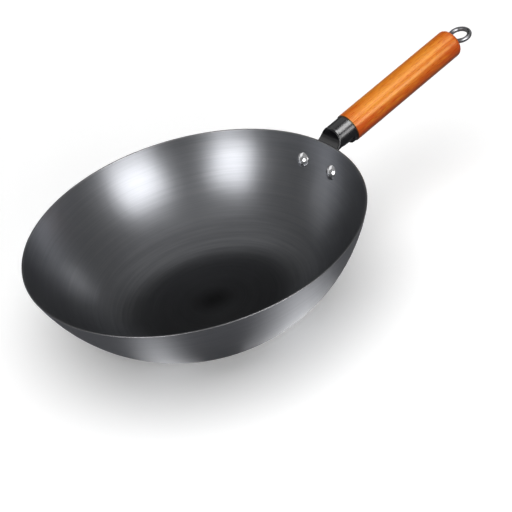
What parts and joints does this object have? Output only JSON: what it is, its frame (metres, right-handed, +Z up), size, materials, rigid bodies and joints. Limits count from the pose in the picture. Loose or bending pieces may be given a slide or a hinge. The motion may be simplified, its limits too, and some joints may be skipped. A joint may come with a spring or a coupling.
{
  "type": "wok",
  "caption": "Flat-based carbon steel wok with a riveted pressed-steel bracket, a turned wooden handle clamped by a tie rod, and a round hanging eye that turns with the rod.",
  "frame": {"origin": "centre of the flat base, on the surface that the wok stands on", "axes": "+Z up along the bowl's axis, +X out along the handle, Y across"},
  "size_m": [0.5254, 0.3196, 0.1218],
  "materials": {
    "carbon_steel": "blued carbon steel, spun, with fine lines round the bowl",
    "bracket_black": "gloss black enamel on pressed steel",
    "rivet_steel": "polished solid steel rivet",
    "stained_wood": "orange-stained hardwood under clear lacquer",
    "plated_steel": "bright zinc-plated steel wire and rod"
  },
  "bodies": {
    "wok": {"wok_body": "carbon_steel", "handle_bracket": "bracket_black", "rivet_left": "rivet_steel", "rivet_right": "rivet_steel", "wooden_handle": "stained_wood", "nut_plate": "plated_steel", "tail_washer": "plated_steel"},
    "loop_rod": {"tie_rod": "plated_steel", "hanging_loop": "plated_steel"}
  },
  "joints": [
    {"name": "loop_turn", "type": "hinge", "parent": "wok", "child": "loop_rod", "pos_m": [0.16, 0, 0.0815], "axis": [0.9895, 0, 0.1444], "continuous": true}
  ]
}
